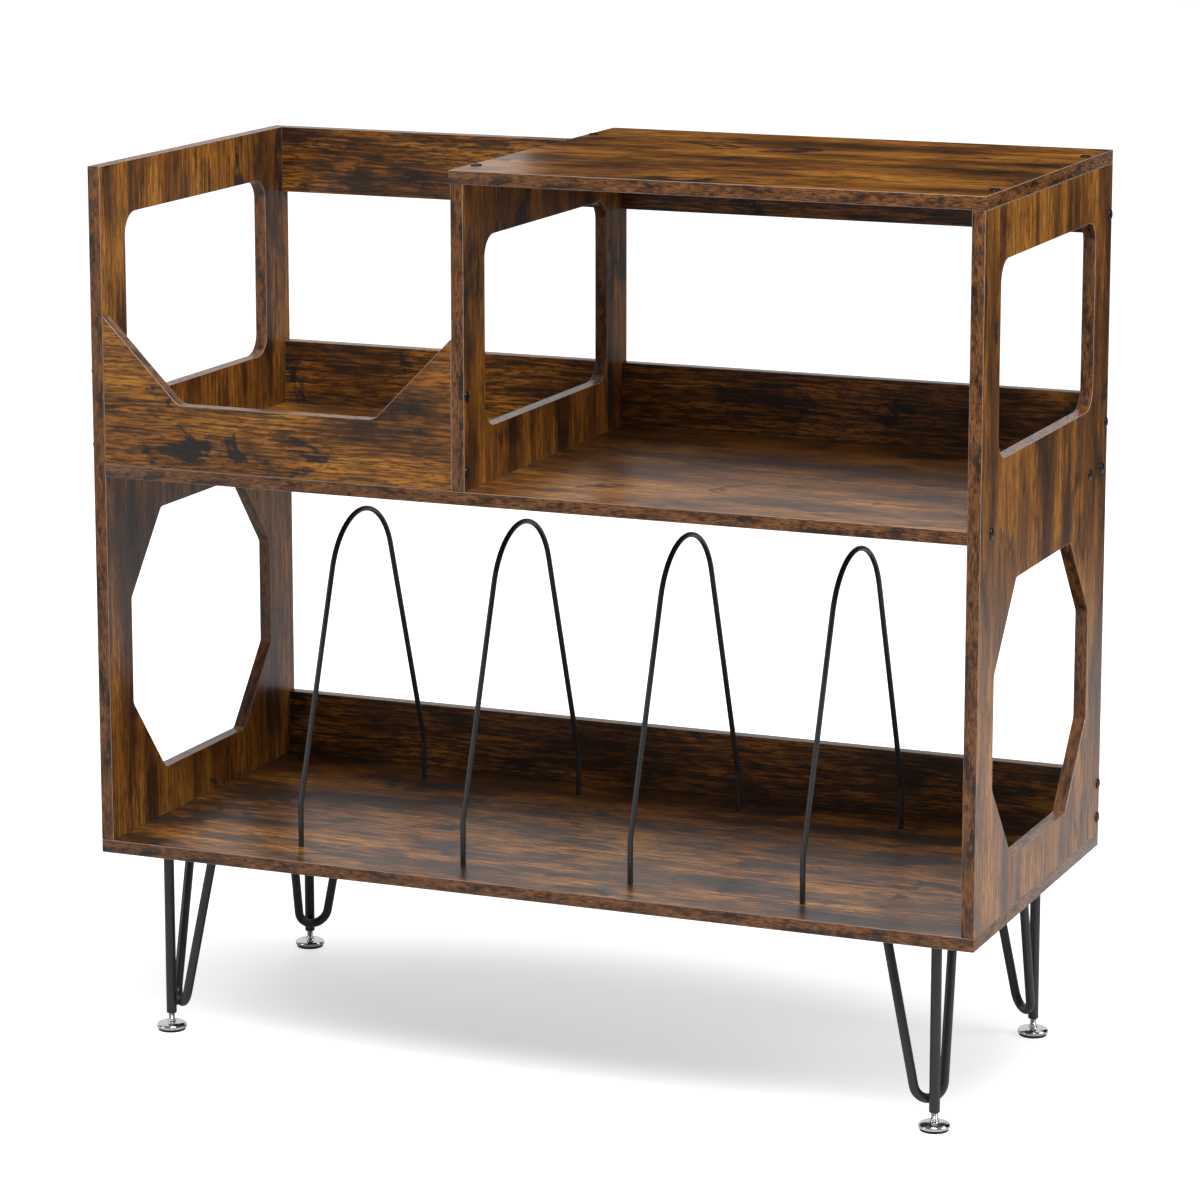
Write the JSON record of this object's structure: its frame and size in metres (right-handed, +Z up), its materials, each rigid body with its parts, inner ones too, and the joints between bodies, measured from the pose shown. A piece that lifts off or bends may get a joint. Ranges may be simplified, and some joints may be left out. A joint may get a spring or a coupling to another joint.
{
  "type": "record storage stand",
  "caption": "Open brown board stand for records: wire-divided bay below, notched open-top bin and roofed player compartment above, on bent steel rod legs with levelling feet.",
  "frame": {"origin": "on the floor under the middle of the stand", "axes": "+X to the right, +Y to the back, +Z up; the bin is on the left"},
  "size_m": [0.8438, 0.375, 0.8244],
  "materials": {
    "brown_board": "satin melamine face with a rustic brown wood grain",
    "black_steel": "satin black powder coat",
    "black_screw": "semi-gloss black",
    "chrome_steel": "polished chrome",
    "black_rubber": "matt"
  },
  "bodies": {
    "root": {"bin_front_panel": "brown_board", "bottom_back_panel": "brown_board", "bottom_board": "brown_board", "divider_panel": "brown_board", "left_side_panel": "brown_board", "leg_plate_back_left": "black_steel", "leg_plate_back_right": "black_steel", "leg_plate_front_left": "black_steel", "leg_plate_front_right": "black_steel", "leg_post_back_left": "black_steel", "leg_post_back_right": "black_steel", "leg_post_front_left": "black_steel", "leg_post_front_right": "black_steel", "leg_rod_back_left": "black_steel", "leg_rod_back_right": "black_steel", "leg_rod_front_left": "black_steel", "leg_rod_front_right": "black_steel", "middle_back_panel_left": "brown_board", "middle_back_panel_right": "brown_board", "middle_shelf": "brown_board", "right_side_panel": "brown_board", "screw_divider_bin_high": "black_screw", "screw_divider_bin_low": "black_screw", "screw_left_bin_high": "black_screw", "screw_left_bin_low": "black_screw", "screw_left_bottom_back_high": "black_screw", "screw_left_bottom_back_low": "black_screw", "screw_left_middle_back": "black_screw", "screw_left_shelf_back": "black_screw", "screw_left_shelf_front": "black_screw", "screw_left_shelf_rear": "black_screw", "screw_left_top_rail": "black_screw", "screw_right_bottom_back_high": "black_screw", "screw_right_bottom_back_low": "black_screw", "screw_right_middle_back": "black_screw", "screw_right_shelf_back": "black_screw", "screw_right_shelf_front": "black_screw", "screw_right_shelf_rear": "black_screw", "screw_right_top_rail": "black_screw", "screw_top_divider_front": "black_screw", "screw_top_divider_rear": "black_screw", "screw_top_right_front": "black_screw", "screw_top_right_rear": "black_screw", "top_back_rail_left": "brown_board", "top_back_rail_right": "brown_board", "top_board": "brown_board"},
    "wire_divider_1": {"record_divider_1": "black_steel"},
    "wire_divider_2": {"record_divider_2": "black_steel"},
    "wire_divider_3": {"record_divider_3": "black_steel"},
    "wire_divider_4": {"record_divider_4": "black_steel"},
    "pad_front_left": {"foot_pad_front_left": "black_rubber"},
    "foot_front_left": {"levelling_foot_front_left": "chrome_steel"},
    "pad_front_right": {"foot_pad_front_right": "black_rubber"},
    "foot_front_right": {"levelling_foot_front_right": "chrome_steel"},
    "pad_back_right": {"foot_pad_back_right": "black_rubber"},
    "foot_back_right": {"levelling_foot_back_right": "chrome_steel"},
    "pad_back_left": {"foot_pad_back_left": "black_rubber"},
    "foot_back_left": {"levelling_foot_back_left": "chrome_steel"}
  },
  "joints": [
    {"name": "divider_1_lift", "type": "slide", "parent": "root", "child": "wire_divider_1", "axis": [0, 0, 1], "range_m": [0, 0.04]},
    {"name": "divider_2_lift", "type": "slide", "parent": "root", "child": "wire_divider_2", "axis": [0, 0, 1], "range_m": [0, 0.04]},
    {"name": "divider_3_lift", "type": "slide", "parent": "root", "child": "wire_divider_3", "axis": [0, 0, 1], "range_m": [0, 0.04]},
    {"name": "divider_4_lift", "type": "slide", "parent": "root", "child": "wire_divider_4", "axis": [0, 0, 1], "range_m": [0, 0.04]},
    {"name": "foot_front_left_travel", "type": "slide", "parent": "root", "child": "pad_front_left", "axis": [0, 0, 1], "range_m": [-0.012, 0.006]},
    {"name": "foot_front_left_turn", "type": "hinge", "parent": "pad_front_left", "child": "foot_front_left", "pos_m": [-0.3735, -0.1455, 0.005], "axis": [0, 0, 1], "range_deg": [-4320, 2160]},
    {"name": "foot_front_right_travel", "type": "slide", "parent": "root", "child": "pad_front_right", "axis": [0, 0, 1], "range_m": [-0.012, 0.006]},
    {"name": "foot_front_right_turn", "type": "hinge", "parent": "pad_front_right", "child": "foot_front_right", "pos_m": [0.3735, -0.1455, 0.005], "axis": [0, 0, 1], "range_deg": [-4320, 2160]},
    {"name": "foot_back_right_travel", "type": "slide", "parent": "root", "child": "pad_back_right", "axis": [0, 0, 1], "range_m": [-0.012, 0.006]},
    {"name": "foot_back_right_turn", "type": "hinge", "parent": "pad_back_right", "child": "foot_back_right", "pos_m": [0.3735, 0.1455, 0.005], "axis": [0, 0, 1], "range_deg": [-4320, 2160]},
    {"name": "foot_back_left_travel", "type": "slide", "parent": "root", "child": "pad_back_left", "axis": [0, 0, 1], "range_m": [-0.012, 0.006]},
    {"name": "foot_back_left_turn", "type": "hinge", "parent": "pad_back_left", "child": "foot_back_left", "pos_m": [-0.3735, 0.1455, 0.005], "axis": [0, 0, 1], "range_deg": [-4320, 2160]}
  ],
  "couplings": [
    {"joint": "foot_front_left_travel", "follows": "foot_front_left_turn", "m_per_rad": 0.00015915},
    {"joint": "foot_front_right_travel", "follows": "foot_front_right_turn", "m_per_rad": 0.00015915},
    {"joint": "foot_back_right_travel", "follows": "foot_back_right_turn", "m_per_rad": 0.00015915},
    {"joint": "foot_back_left_travel", "follows": "foot_back_left_turn", "m_per_rad": 0.00015915}
  ]
}
